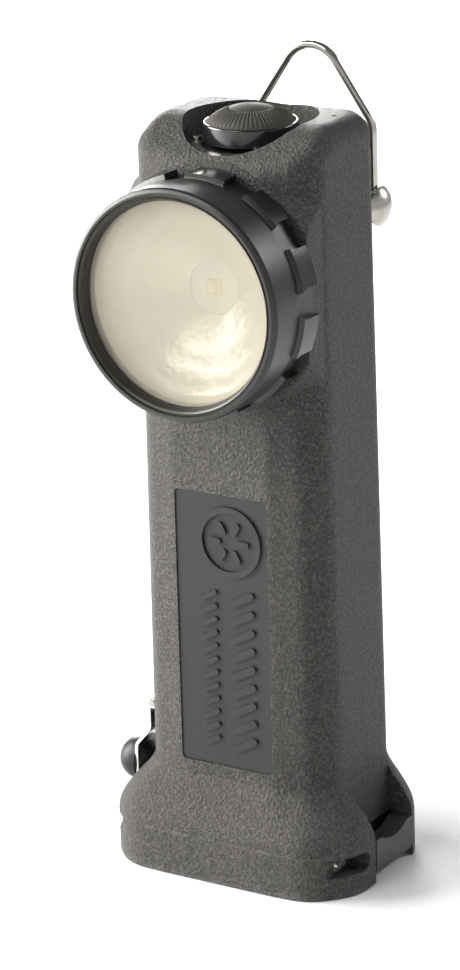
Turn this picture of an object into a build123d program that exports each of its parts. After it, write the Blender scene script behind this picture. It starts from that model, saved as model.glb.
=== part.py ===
from build123d import *
import os
from math import cos, pi, radians, sin, sqrt, tan

os.makedirs("parts", exist_ok=True)

# A right-angle flashlight. Millimetres, +Z up, +X across, and the light shines along -Y.
# The origin is on the surface it stands on, under the middle of the column.

# ---- Driving dimensions ----

# Column: a faceted plan with rounded corners, drafted inwards towards the top; each list of
# corners runs from the front to the back on the +X side and is mirrored for the other
body_height = 175.2
draft = 0.5
column_foot = 20.0
half_width = 25.0
front_y = -19.6
rear_y = 17.6
column_corners = (
    (12.4, front_y),
    (20.5, -17.2),
    (half_width, -11.5),
    (half_width, 11.5),
    (19.0, rear_y),
)
column_corner_radius = 6.5

# Foot: the column flares out to a straight skirt; each step is a height and how far the
# plan has spread there from the column's (0) to the skirt's (1)
foot_corners = ((14.0, -26.4), (24.1, -25.9), (32.7, -17.3), (32.7, 11.4), (23.1, 21.0))
foot_corner_radius = 12.0
skirt_top = 10.5
flare_steps = (
    (10.5, 0.985),
    (13.0, 0.93),
    (16.0, 0.70),
    (19.0, 0.38),
    (21.5, 0.12),
    (23.5, 0.005),
)

# Crown: a slope rises from the head to a flat top, and the edge all round is rounded
brow_slope = 0.58
brow_break_y = -5.9
brow_blend = 15.0
crown_edge_radius = 4.6
crown_edges_from = 165.0
vent_x = 17.5
vent_y = 5.5
vent_radius = 0.7

# Hollow of the column, and the wider mouth that takes the battery pack's foot
hollow_width = 43.6
hollow_depth = 30.8
hollow_y = -1.0
hollow_radius = 6.0
hollow_top = 165.5
mouth_width = 52.0
mouth_depth = 37.0
mouth_radius = 8.0
mouth_top = 10.0

# Head
lens_z = 140.0
head_face_y = -18.7
boss_radius = 28.0
boss_root_radius = 31.5
boss_root_y = -12.0
boss_half_width = 24.1
boss_drop = 0.3
collar_end_y = -29.5
collar_radius = 23.6
collar_bore = 22.6
ridge_radius = 24.1
ridge_width = 0.8
thread_pitch = 1.5
thread_start_y = -27.4
thread_ridges = 3
seal_groove_y = -21.4
seal_section = 0.65

# Bezel ring
bezel_radius = 26.2
bezel_front_y = -36.1
bezel_rear_y = -19.1
bezel_bore = 24.3
lens_opening = 23.0
lip_rear_y = -34.0
lug_radius = 27.3
lug_front_y = -25.4
lug_count = 11
first_scallop = 2.0
scallop_radius = 3.4
scallop_y = -23.5
scallop_floor = 25.4

# Lens, reflector and lamp
lens_radius = 24.1
lens_front_y = -33.2
lens_rear_y = -31.4
reflector_front_y = -31.2
reflector_mouth = 22.9
reflector_throat = 21.7
reflector_apex_y = -17.5
reflector_end_y = -18.5
bowl_stations = (-26.0, -22.5, -20.0)
reflector_wall = 0.8
lamp_board_y = -18.2
lamp_board_radius = 12.2
pedestal_y = -17.0
heat_sink_y = -10.2
heat_sink_height = 27.0
heat_sink_plate = 2.4

# Push button in its well
button_y = -1.0
well_radius = 15.2
well_floor = 168.2
button_radius = 10.7
button_top = 174.0
button_base = 169.9
button_wall = 1.2
button_roof = 172.0
pad_radius = 10.1
pad_base = 173.0
pad_crown = 177.6
stem_radius = 3.0
stem_bottom = 162.9
button_stroke = 1.3
module_side = 15.0
module_bottom = 159.4
plate_inner = 11.2
plate_outer = 14.9
plate_thickness = 0.8
plate_screw_radius = 13.2
plate_screw_angles = (190, 310, 70)

# Driver board behind the lamp
board_front_y = 2.0
board_thickness = 1.6
board_width = 36.0
board_bottom = 121.0
board_top = 154.0
post_x = 15.0
post_heights = (124.5, 150.5)

# Front inlay
inlay_half_width = 12.1
inlay_bottom = 26.5
inlay_top = 92.0
inlay_depth = 1.0
inlay_gap = 0.1
medallion_x = 2.0
medallion_z = 81.0
medallion_radius = 8.4

# Belt clip and ring on the back
pad_y = 17.8
pad_bottom = 84.0
pad_top = 162.0
sheet = 1.2
rivet_radius = 1.5
rivet_head_radius = 2.6
rivet_depth = 2.4
clip_pin_y = 26.0
clip_pin_z = 150.0
clip_pin_radius = 2.0
running_fit = 0.06
ear_x = 12.4
flange_x = 10.0
clip_half_width = 10.0
eye_radius = 4.2
wire_radius = 1.05
ring_eye_half = 0.9
ring_x = 15.5
ring_shoulder_z = 169.0
ring_corner_z = 191.4
pin_head_radius = 4.7
pin_head_bulge = 2.2
pin_head_x = 17.2
pin_shoulder_radius = 3.2

# Side slots with their charging contacts
slot_floor_x = 27.6
slot_bottom = 5.0
slot_height = 4.5
slot_front_y = -30.0
slot_rear_y = -11.6
left_slot_rear_y = -14.0
contact_y = -17.4

# Release lever in its pocket on one side
lever_half_length = 8.4
pocket_half_length = 8.9
pocket_x = 26.0
pocket_top = 23.5
lever_face_x = 32.7
lever_top = 10.2
release_x = 29.5
release_z = 3.6
release_pin_radius = 1.0

# Spring catch with its knob on the other side
catch_front_y = -12.0
catch_rear_y = -3.0
catch_middle_y = -7.5
catch_x = -24.9
catch_z = 35.0
catch_pin_radius = 0.8
catch_eye_radius = 1.4
catch_lug_half = 1.8
catch_slot_top = 21.5
leaf_thickness = 0.8
leaf_x = -29.9
knob_radius = 5.3
knob_bulge = 6.2
knob_x = -30.32
knob_z = 18.5
knob_neck_radius = 1.8
knob_inner_radius = 4.4
knob_inner_bulge = 2.6

# Battery pack
case_width = 42.8
case_depth = 29.8
case_radius = 5.6
case_wall = 1.4
case_bottom = 8.5
case_top = 101.0
foot_width = 51.4
foot_depth = 36.4
foot_radius = 7.7
cell_radius = 9.8
cell_length = 42.0
cell_x = 10.0
cell_bottoms = (11.8, 54.6)
cell_nub = 0.8
contact_x = 9.0
contact_radius = 3.6
carrier_bottom = 110.5
carrier_top = 114.0

# ---- Worked-out values ----

draft_slope = tan(radians(draft))
lens_axis = Axis((0, 0, lens_z), (0, 1, 0))
reflector_focus = reflector_throat**2 / (4 * (reflector_apex_y - collar_end_y))
inlay_plane = Plane(
    origin=(0, front_y, column_foot),
    x_dir=(1, 0, 0),
    z_dir=(0, -cos(radians(draft)), sin(radians(draft))),
)
inlay_middle = (inlay_bottom + inlay_top) / 2 - column_foot
inlay_height = inlay_top - inlay_bottom
clip_axis_point = (clip_pin_y, clip_pin_z)
rivet_points = [(0, 112), (-8, 158), (8, 158)]
catch_width = catch_rear_y - catch_front_y

# ---- Shared shapes ----


def column_plan(height, spread):
    """The faceted plan at a height: the column's at spread 0, the skirt's at spread 1."""
    corners = [
        (near_x + spread * (far_x - near_x), near_y + spread * (far_y - near_y))
        for (near_x, near_y), (far_x, far_y) in zip(column_corners, foot_corners)
    ]
    corners += [(-x, y) for x, y in reversed(corners)]
    radius = column_corner_radius + spread * (foot_corner_radius - column_corner_radius)
    with BuildSketch(Plane.XY.offset(height)) as plan:
        with BuildLine():
            Polyline(*corners, close=True)
        make_face()
        fillet(plan.vertices(), radius)
    return plan.sketch


def pack_plan(height, width, depth, radius):
    """A rounded rectangle in the hollow's middle, at a height."""
    with BuildSketch(Plane.XY.offset(height)) as plan:
        with Locations((0, hollow_y)):
            RectangleRounded(width, depth, radius)
    return plan.sketch


def under_brow(drop):
    """Everything under the crown's slope, lowered by a drop, seen from the side."""
    top = body_height - drop
    ahead_y = -40
    with BuildSketch(Plane.YZ) as side:
        with BuildLine():
            Polyline(
                (ahead_y, 0),
                (ahead_y, top - brow_slope * (brow_break_y - ahead_y)),
                (brow_break_y, top),
                (-ahead_y, top),
                (-ahead_y, 0),
                close=True,
            )
        make_face()
        fillet(side.vertices().group_by(Axis.Y)[-1].sort_by(Axis.X)[0], brow_blend)
    return side.sketch


def ring_profile(*points):
    """A closed profile of (y, radius) points beside the lens axis, ready to revolve."""
    with BuildSketch(Plane.YZ) as profile:
        with BuildLine():
            Polyline(*[(y, lens_z + radius) for y, radius in points], close=True)
        make_face()
    return profile.sketch


def cap_radius(rim, rise):
    """The sphere's radius for a cap of a given rim radius and rise."""
    return (rim**2 + rise**2) / (2 * rise)


def across(x):
    """A plane square to X at a place along it; its own axes are Y and Z."""
    return Plane.YZ.offset(x)


def along(y):
    """A plane square to Y at a place along it, facing the front; its own axes are X and Z."""
    return Plane.XZ.offset(-y)


def coil(radius, wire, pitch, height, base, direction):
    """A round-wire helical spring from a base point along a direction."""
    with BuildPart() as spring:
        with BuildLine() as turns:
            Helix(pitch, height, radius, center=base, direction=direction)
        with BuildSketch(Plane(turns.line @ 0, z_dir=turns.line % 0)):
            Circle(wire / 2)
        sweep(path=turns.line, is_frenet=True)
    return spring.part


def lead(points, radii, wire_radius):
    """A round insulated wire along straight runs joined by arcs."""
    with BuildPart() as wire:
        with BuildLine() as route:
            FilletPolyline(*points, radius=radii)
        with BuildSketch(Plane(route.line @ 0, z_dir=route.line % 0)):
            Circle(wire_radius)
        sweep(path=route.line)
    return wire.part


# ---- Housing ----

with BuildPart() as head_boss:
    boss_profile = ring_profile(
        (head_face_y, 0),
        (head_face_y, boss_radius),
        (boss_root_y, boss_root_radius),
        (boss_root_y, 0),
    )
    revolve(boss_profile, axis=lens_axis)
    with BuildSketch(Plane.XZ):
        with Locations((0, lens_z)):
            Rectangle(2 * boss_half_width, 4 * boss_root_radius)
    extrude(amount=60, both=True, mode=Mode.INTERSECT)
    extrude(under_brow(boss_drop), amount=60, both=True, mode=Mode.INTERSECT)

with BuildPart() as housing:
    # Skirt, flare and drafted column
    extrude(column_plan(0, 1), amount=skirt_top)
    loft([column_plan(height, spread) for height, spread in flare_steps])
    extrude(column_plan(column_foot, 0), amount=body_height - column_foot, taper=draft)

    # Crown: the slope over the brow, then its rounded edge and the vent beside the button
    extrude(under_brow(0), amount=60, both=True, mode=Mode.INTERSECT)
    crown_edges = housing.edges().filter_by_position(Axis.Z, crown_edges_from, body_height + 1)
    creases = crown_edges.filter_by(Axis.X).filter_by_position(Axis.Y, -12, 2)
    fillet(crown_edges - creases, crown_edge_radius)
    with BuildSketch(Plane.XY.offset(body_height)):
        with Locations((vent_x, vent_y)):
            Circle(vent_radius)
    extrude(amount=-1.5, mode=Mode.SUBTRACT)

    # Head boss, the flat pad under the clip, and the lug that carries the catch
    add(head_boss.part)
    with BuildSketch(along(pad_y)):
        with Locations((0, (pad_bottom + pad_top) / 2)):
            RectangleRounded(2 * ear_x + 3.2, pad_top - pad_bottom, 4)
    extrude(amount=2.6)
    with BuildSketch(along(catch_middle_y - catch_lug_half)):
        with Locations((catch_x, catch_z)):
            Circle(1.5)
    extrude(amount=-2 * catch_lug_half)

    # Threaded collar: ridges ahead of a groove for the sealing ring
    collar_points = [(head_face_y + 1, collar_bore), (head_face_y + 1, collar_radius)]
    collar_points += [
        (seal_groove_y + seal_section, collar_radius),
        (seal_groove_y + seal_section, collar_radius - seal_section),
        (seal_groove_y - seal_section, collar_radius - seal_section),
        (seal_groove_y - seal_section, collar_radius),
    ]
    for index in range(thread_ridges):
        ridge_y = thread_start_y + thread_pitch * (thread_ridges - 1 - index)
        collar_points += [
            (ridge_y + ridge_width, collar_radius),
            (ridge_y + ridge_width / 2, ridge_radius),
            (ridge_y, ridge_radius),
            (ridge_y - ridge_width / 2, collar_radius),
        ]
    collar_points += [(collar_end_y, collar_radius), (collar_end_y, collar_bore)]
    revolve(ring_profile(*collar_points), axis=lens_axis)

    # Hollow, mouth and the bore behind the reflector
    extrude(
        pack_plan(mouth_top - 1, hollow_width, hollow_depth, hollow_radius),
        amount=hollow_top - mouth_top + 1,
        mode=Mode.SUBTRACT,
    )
    extrude(
        pack_plan(0, mouth_width, mouth_depth, mouth_radius),
        amount=mouth_top,
        mode=Mode.SUBTRACT,
    )
    with BuildSketch(along(collar_end_y - 1)):
        with Locations((0, lens_z)):
            Circle(collar_bore)
    extrude(amount=collar_end_y - 1 - hollow_y + hollow_depth / 2 - 1, mode=Mode.SUBTRACT)

    # Well of the button, the bore of its stem and the holes of its plate's screws
    with BuildSketch(Plane.XY.offset(well_floor)):
        with Locations((0, button_y)):
            Circle(well_radius)
    extrude(amount=body_height - well_floor + 1, mode=Mode.SUBTRACT)
    with BuildSketch(Plane.XY.offset(well_floor)):
        with Locations((0, button_y)):
            Circle(stem_radius + running_fit)
    extrude(amount=hollow_top - well_floor, mode=Mode.SUBTRACT)
    for angle in plate_screw_angles:
        screw_x = plate_screw_radius * cos(radians(angle))
        screw_y = button_y + plate_screw_radius * sin(radians(angle))
        with BuildSketch(Plane.XY.offset(well_floor)):
            with Locations((screw_x, screw_y)):
                Circle(0.8)
        extrude(amount=-2, mode=Mode.SUBTRACT)

    # Recess of the front inlay
    with BuildSketch(inlay_plane):
        with Locations((0, inlay_middle)):
            RectangleRounded(2 * inlay_half_width, inlay_height, 1.2)
    extrude(amount=-inlay_depth, mode=Mode.SUBTRACT)

    # Release lever's pocket, catch's slot, and the slots over the charging contacts
    with BuildSketch(Plane.XY):
        with Locations((pocket_x + 10, 0)):
            Rectangle(20, 2 * pocket_half_length)
    extrude(amount=pocket_top, mode=Mode.SUBTRACT)
    with BuildSketch(Plane.XY):
        with Locations((-pocket_x - 10, catch_middle_y)):
            Rectangle(20.2, catch_rear_y - catch_front_y + 0.8)
    extrude(amount=catch_slot_top, mode=Mode.SUBTRACT)
    with BuildSketch(across(knob_x + 0.4)):
        with Locations((catch_middle_y, knob_z)):
            Circle(knob_radius + 0.6)
    extrude(amount=-8, mode=Mode.SUBTRACT)
    for side_sign, slot_end_y in ((-1, left_slot_rear_y), (1, slot_rear_y)):
        with BuildSketch(across(side_sign * slot_floor_x)):
            with Locations(((slot_front_y + slot_end_y) / 2, slot_bottom + slot_height / 2)):
                RectangleRounded(slot_end_y - slot_front_y, slot_height, slot_height / 2 - 0.1)
        extrude(amount=side_sign * 8, mode=Mode.SUBTRACT)

    # Pockets each side of the catch's lug, for the two eyes of its leaf
    for side_sign in (-1, 1):
        eye_middle_y = catch_middle_y + side_sign * (catch_lug_half + catch_width / 2 + 0.2) / 2
        with BuildSketch(along(eye_middle_y - (catch_width / 2 + 0.2 - catch_lug_half) / 2)):
            with Locations((catch_x - 3.0, catch_z)):
                Rectangle(2 * (catch_eye_radius + 3.4), 2 * catch_eye_radius + 1.4)
        extrude(amount=catch_lug_half - catch_width / 2 - 0.2, mode=Mode.SUBTRACT)

    # Holes for the clip's rivets, the catch's pin and the release lever's pin
    with BuildSketch(along(pad_y)):
        with Locations(*rivet_points):
            Circle(rivet_radius)
    extrude(amount=rivet_depth, mode=Mode.SUBTRACT)
    with BuildSketch(along(catch_front_y - 0.5)):
        with Locations((catch_x, catch_z)):
            Circle(catch_pin_radius)
    extrude(amount=-catch_width - 1, mode=Mode.SUBTRACT)
    with BuildSketch(along(-pocket_half_length - 1.5)):
        with Locations((release_x, release_z)):
            Circle(release_pin_radius)
    extrude(amount=-2 * pocket_half_length - 3, mode=Mode.SUBTRACT)

    # Posts for the driver board and lugs for the contact carrier
    with BuildSketch(along(hollow_y + hollow_depth / 2 + 0.5)):
        with Locations(
            *[(sign * post_x, height) for sign in (-1, 1) for height in post_heights]
        ):
            Circle(2.4)
    extrude(amount=hollow_y + hollow_depth / 2 + 0.5 - board_front_y - board_thickness)
    for side_sign in (-1, 1):
        with BuildSketch(Plane.XY.offset(carrier_top)):
            with Locations((side_sign * (hollow_width / 2 - 1.8), hollow_y)):
                Rectangle(4.4, 6)
        extrude(amount=5)

housing.part.label = "housing"
export_step(housing.part, "parts/housing.step")

# ---- Front inlay: a smooth panel with a plain medallion and two columns of grip bars ----

with BuildPart() as front_panel:
    with BuildSketch(inlay_plane.offset(-inlay_depth + 0.02)):
        with Locations((0, inlay_middle)):
            RectangleRounded(
                2 * (inlay_half_width - inlay_gap), inlay_height - 2 * inlay_gap, 1.1
            )
    extrude(amount=0.65)
    relief_plane = inlay_plane.offset(-inlay_depth + 0.6)
    with BuildSketch(relief_plane):
        with Locations((medallion_x, medallion_z - column_foot)):
            Circle(medallion_radius)
            Circle(medallion_radius - 1.5, mode=Mode.SUBTRACT)
            with PolarLocations(3.7, 6):
                SlotOverall(3.4, 1.5)
    extrude(amount=0.65)
    with BuildSketch(relief_plane):
        with Locations(*[(5.0, 12.5 + 4.4 * row) for row in range(9)]):
            SlotOverall(7.4, 1.7, rotation=28)
        with Locations(*[(-3.7, 12.5 + 3.2 * row) for row in range(12)]):
            SlotOverall(5.0, 1.2, rotation=28)
    extrude(amount=0.65)

front_panel.part.label = "front_panel"
export_step(front_panel.part, "parts/front_panel.step")

# ---- Bezel ring: a beaded lip, a smooth band and a castellated grip ----

with BuildPart() as bezel_ring:
    bezel_profile = ring_profile(
        (bezel_rear_y, bezel_bore),
        (bezel_rear_y, lug_radius - 0.3),
        (bezel_rear_y - 0.3, lug_radius),
        (lug_front_y, lug_radius),
        (lug_front_y - 0.5, bezel_radius),
        (bezel_front_y + 1.1, bezel_radius),
        (bezel_front_y + 0.35, bezel_radius - 0.3),
        (bezel_front_y, bezel_radius - 0.95),
        (bezel_front_y, bezel_radius - 1.5),
        (bezel_front_y + 0.5, bezel_radius - 1.7),
        (bezel_front_y + 0.5, bezel_radius - 2.0),
        (bezel_front_y + 0.2, bezel_radius - 2.15),
        (bezel_front_y + 0.5, bezel_radius - 2.5),
        (bezel_front_y + 1.5, lens_opening + 0.2),
        (lip_rear_y, lens_opening),
        (lip_rear_y, bezel_bore),
    )
    revolve(bezel_profile, axis=lens_axis)
    for index in range(lug_count):
        turn = radians(first_scallop + index * 360 / lug_count)
        scallop_plane = Plane(
            origin=(scallop_floor * cos(turn), 0, lens_z + scallop_floor * sin(turn)),
            x_dir=(0, 1, 0),
            z_dir=(cos(turn), 0, sin(turn)),
        )
        with BuildSketch(scallop_plane):
            with Locations((scallop_y, 0)):
                Circle(scallop_radius)
            with Locations(((scallop_y + bezel_rear_y) / 2 + 1, 0)):
                Rectangle(bezel_rear_y - scallop_y + 2, 2 * scallop_radius)
        extrude(amount=4, mode=Mode.SUBTRACT)

bezel_ring.part.label = "bezel_ring"
export_step(bezel_ring.part, "parts/bezel_ring.step")

with BuildPart() as bezel_o_ring:
    with BuildSketch(Plane.YZ):
        with Locations((seal_groove_y, lens_z + bezel_bore - 0.05 - seal_section)):
            Circle(seal_section - 0.02)
    revolve(axis=lens_axis)

bezel_o_ring.part.label = "bezel_o_ring"
export_step(bezel_o_ring.part, "parts/bezel_o_ring.step")

# ---- Lens, its gasket and the reflector ----

with BuildPart() as lens:
    lens_profile = ring_profile(
        (lens_rear_y, 0),
        (lens_rear_y, lens_radius),
        (lens_front_y + 0.3, lens_radius),
        (lens_front_y, lens_radius - 0.3),
        (lens_front_y, 0),
    )
    revolve(lens_profile, axis=lens_axis)

lens.part.label = "lens"
export_step(lens.part, "parts/lens.step")

with BuildPart() as lens_gasket:
    gasket_profile = ring_profile(
        (lens_front_y - 0.02, lens_opening + 0.1),
        (lens_front_y - 0.02, lens_radius),
        (lip_rear_y + 0.02, lens_radius),
        (lip_rear_y + 0.02, lens_opening + 0.1),
    )
    revolve(gasket_profile, axis=lens_axis)

lens_gasket.part.label = "lens_gasket"
export_step(lens_gasket.part, "parts/lens_gasket.step")


def bowl_point(y, wall):
    """The reflector's parabola: its radius at a place along the lens axis."""
    return (y, lens_z + sqrt(4 * reflector_focus * (reflector_apex_y - y)) + wall)


with BuildPart() as reflector:
    bowl_ys = [collar_end_y - 0.02, *bowl_stations, reflector_end_y]
    with BuildSketch(Plane.YZ):
        with BuildLine():
            Spline(*[bowl_point(y, 0) for y in bowl_ys])
            Polyline(
                bowl_point(bowl_ys[0], 0),
                (reflector_front_y, lens_z + reflector_mouth),
                (reflector_front_y, lens_z + lens_radius),
                (bowl_ys[0], lens_z + lens_radius),
                bowl_point(bowl_ys[0], reflector_wall),
            )
            Spline(*[bowl_point(y, reflector_wall) for y in bowl_ys])
            Line(bowl_point(bowl_ys[-1], reflector_wall), bowl_point(bowl_ys[-1], 0))
        make_face()
    revolve(axis=lens_axis)

reflector.part.label = "reflector"
export_step(reflector.part, "parts/reflector.step")

# ---- Lamp: emitter, its board, the heat sink and their screws ----

with BuildPart() as led_emitter:
    with BuildSketch(along(lamp_board_y)):
        with Locations((0, lens_z)):
            RectangleRounded(3.6, 3.6, 0.3)
    extrude(amount=0.7)
    dome_profile = ring_profile(
        (lamp_board_y - 0.6, 0),
        (lamp_board_y - 0.6, 1.5),
        (lamp_board_y - 1.2, 1.4),
        (lamp_board_y - 1.8, 0.9),
        (lamp_board_y - 2.0, 0),
    )
    revolve(dome_profile, axis=lens_axis)

led_emitter.part.label = "led_emitter"
export_step(led_emitter.part, "parts/led_emitter.step")

wire_hole_x = 7.5
wire_hole_z = 134.0
lamp_screw_x = 10.6

with BuildPart() as led_board:
    with BuildSketch(along(pedestal_y)):
        with Locations((0, lens_z)):
            Circle(lamp_board_radius)
        with Locations((-lamp_screw_x, lens_z), (lamp_screw_x, lens_z)):
            Circle(1.05, mode=Mode.SUBTRACT)
    extrude(amount=pedestal_y - lamp_board_y)

led_board.part.label = "led_board"
export_step(led_board.part, "parts/led_board.step")

# The heat sink: a plate across the hollow, a pedestal under the board and fins behind
with BuildPart() as heat_sink:
    with BuildSketch(along(heat_sink_y)):
        with Locations((0, lens_z)):
            Rectangle(hollow_width, heat_sink_height)
    extrude(amount=-heat_sink_plate)
    with BuildSketch(along(heat_sink_y)):
        with Locations((0, lens_z)):
            Circle(lamp_board_radius)
    extrude(amount=heat_sink_y - pedestal_y)
    with BuildSketch(along(heat_sink_y + heat_sink_plate)):
        with Locations((0, lens_z)):
            Circle(6)
        with Locations(*[(sign * x, lens_z) for sign in (-1, 1) for x in (13, 16.5, 20)]):
            Rectangle(1.4, heat_sink_height)
    extrude(amount=-6)
    with BuildSketch(along(pedestal_y)):
        with Locations((-lamp_screw_x, lens_z), (lamp_screw_x, lens_z)):
            Circle(0.95)
        with Locations((-wire_hole_x, wire_hole_z), (wire_hole_x, wire_hole_z)):
            Circle(1.1)
    extrude(amount=pedestal_y - heat_sink_y - heat_sink_plate, mode=Mode.SUBTRACT)

heat_sink.part.label = "heat_sink"
export_step(heat_sink.part, "parts/heat_sink.step")

with BuildPart() as led_screws:
    with BuildSketch(along(heat_sink_y + 2)):
        with Locations((-lamp_screw_x, lens_z), (lamp_screw_x, lens_z)):
            Circle(0.95)
    extrude(amount=heat_sink_y + 2 - lamp_board_y)
    with BuildSketch(along(lamp_board_y)):
        with Locations((-lamp_screw_x, lens_z), (lamp_screw_x, lens_z)):
            Circle(1.2)
    extrude(amount=0.7)

led_screws.part.label = "led_screws"
export_step(led_screws.part, "parts/led_screws.step")

# ---- Driver board, what is on it and its screws ----

board_middle = (board_bottom + board_top) / 2
post_points = [(sign * post_x, height) for sign in (-1, 1) for height in post_heights]

with BuildPart() as driver_board:
    with BuildSketch(along(board_front_y + board_thickness)):
        with Locations((0, board_middle)):
            RectangleRounded(board_width, board_top - board_bottom, 1.5)
        with Locations(*post_points):
            Circle(1.05, mode=Mode.SUBTRACT)
    extrude(amount=board_thickness)

driver_board.part.label = "driver_board"
export_step(driver_board.part, "parts/driver_board.step")

with BuildPart() as driver_parts:
    board_rear = along(board_front_y + board_thickness)
    with BuildSketch(board_rear):
        with Locations((-4, 144)):
            RectangleRounded(10, 10, 2)
    extrude(amount=-5)
    with BuildSketch(board_rear):
        with Locations((8, 143)):
            Rectangle(7, 6)
        with Locations((6, 133)):
            Rectangle(9, 5)
    extrude(amount=-1.6)
    with BuildSketch(board_rear):
        with Locations((-6, 131)):
            Circle(3.1)
    extrude(amount=-6)

driver_parts.part.label = "driver_parts"
export_step(driver_parts.part, "parts/driver_parts.step")

with BuildPart() as board_screws:
    with BuildSketch(along(board_front_y)):
        with Locations(*post_points):
            Circle(1.9)
    extrude(amount=1.1)
    with BuildSketch(along(board_front_y)):
        with Locations(*post_points):
            Circle(1.0)
    extrude(amount=-board_thickness)

board_screws.part.label = "board_screws"
export_step(board_screws.part, "parts/board_screws.step")

# ---- Push button: cap with its stem, textured pad, plate, switch, spring and seal ----

with BuildPart() as switch_button:
    with BuildSketch(Plane.XY.offset(button_base)):
        with Locations((0, button_y)):
            Circle(button_radius)
    extrude(amount=button_top - button_base)
    fillet(switch_button.edges().group_by(Axis.Z)[-1], 0.4)
    with BuildSketch(Plane.XY.offset(pad_base)):
        with Locations((0, button_y)):
            Circle(pad_radius + 0.1)
    extrude(amount=button_top - pad_base, mode=Mode.SUBTRACT)
    with BuildSketch(Plane.XY.offset(button_base)):
        with Locations((0, button_y)):
            Circle(button_radius - button_wall)
    extrude(amount=button_roof - button_base, mode=Mode.SUBTRACT)
    with BuildSketch(Plane.XY.offset(stem_bottom)):
        with Locations((0, button_y)):
            Circle(stem_radius)
    extrude(amount=button_roof - stem_bottom + 0.5)

switch_button.part.label = "switch_button"
export_step(switch_button.part, "parts/switch_button.step")

button_axis = Axis((0, button_y, 0), (0, 0, 1))

with BuildPart() as button_pad:
    with BuildSketch(Plane.XZ.offset(-button_y)):
        with BuildLine():
            Polyline(
                (0, pad_crown),
                (0, pad_base + 0.02),
                (pad_radius, pad_base + 0.02),
                (pad_radius, button_top),
            )
            pad_arc = cap_radius(pad_radius, pad_crown - button_top)
            RadiusArc((0, pad_crown), (pad_radius, button_top), pad_arc)
        make_face()
    revolve(axis=button_axis)

button_pad.part.label = "button_pad"
export_step(button_pad.part, "parts/button_pad.step")

plate_screw_points = [
    (
        plate_screw_radius * cos(radians(angle)),
        button_y + plate_screw_radius * sin(radians(angle)),
    )
    for angle in plate_screw_angles
]

with BuildPart() as switch_plate:
    with BuildSketch(Plane.XY.offset(well_floor)):
        with Locations((0, button_y)):
            Circle(plate_outer)
            Circle(plate_inner, mode=Mode.SUBTRACT)
        with Locations(*plate_screw_points):
            Circle(0.85, mode=Mode.SUBTRACT)
    extrude(amount=plate_thickness)

switch_plate.part.label = "switch_plate"
export_step(switch_plate.part, "parts/switch_plate.step")

with BuildPart() as switch_screws:
    with BuildSketch(Plane.XY.offset(well_floor + plate_thickness)):
        with Locations(*plate_screw_points):
            Circle(1.45)
    extrude(amount=0.9)
    fillet(switch_screws.edges().group_by(Axis.Z)[-1], 0.4)
    with BuildSketch(Plane.XY.offset(well_floor + plate_thickness + 0.9)):
        with Locations(*plate_screw_points):
            RegularPolygon(0.7, 6)
    extrude(amount=-0.5, mode=Mode.SUBTRACT)
    with BuildSketch(Plane.XY.offset(well_floor + plate_thickness)):
        with Locations(*plate_screw_points):
            Circle(0.75)
    extrude(amount=-2.4)

switch_screws.part.label = "switch_screws"
export_step(switch_screws.part, "parts/switch_screws.step")

with BuildPart() as switch_module:
    with BuildSketch(Plane.XY.offset(module_bottom)):
        with Locations((0, button_y)):
            RectangleRounded(module_side, module_side, 1.0)
    extrude(amount=hollow_top - module_bottom)
    with BuildSketch(Plane.XY.offset(hollow_top)):
        with Locations((0, button_y)):
            Circle(stem_radius + 0.3)
    extrude(amount=-(hollow_top - stem_bottom + button_stroke + 0.2), mode=Mode.SUBTRACT)

switch_module.part.label = "switch_module"
export_step(switch_module.part, "parts/switch_module.step")

switch_spring = coil(5.0, 0.5, 1.25, 3.2, (0, button_y, well_floor + 0.3), (0, 0, 1))
switch_spring.label = "switch_spring"
export_step(switch_spring, "parts/switch_spring.step")

with BuildPart() as stem_seal:
    with BuildSketch(Plane.XY.offset(well_floor + 0.02)):
        with Locations((0, button_y)):
            Circle(stem_radius + 0.95)
            Circle(stem_radius + running_fit, mode=Mode.SUBTRACT)
    extrude(amount=0.9)

stem_seal.part.label = "stem_seal"
export_step(stem_seal.part, "parts/stem_seal.step")

# ---- Belt clip on the back: base with ears, lever, pin, spring and rivets ----

with BuildPart() as clip_base:
    with BuildSketch(along(pad_y)):
        with Locations((0, (pad_bottom + pad_top) / 2)):
            RectangleRounded(2 * (ear_x + sheet), pad_top - pad_bottom - 2, 3)
        with Locations(*rivet_points):
            Circle(rivet_radius, mode=Mode.SUBTRACT)
    extrude(amount=-sheet)
    with BuildSketch(across(-ear_x - sheet)):
        with Locations(clip_axis_point):
            Circle(4.4)
        with Locations(((pad_y + clip_pin_y) / 2, clip_pin_z)):
            Rectangle(clip_pin_y - pad_y, 8.8)
        with Locations(clip_axis_point):
            Circle(clip_pin_radius, mode=Mode.SUBTRACT)
    extrude(amount=2 * (ear_x + sheet))
    with BuildSketch(across(-ear_x)):
        with Locations((pad_y + sheet + 20, clip_pin_z)):
            Rectangle(40, 40)
    extrude(amount=2 * ear_x, mode=Mode.SUBTRACT)

clip_base.part.label = "clip_base"
export_step(clip_base.part, "parts/clip_base.step")

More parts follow.
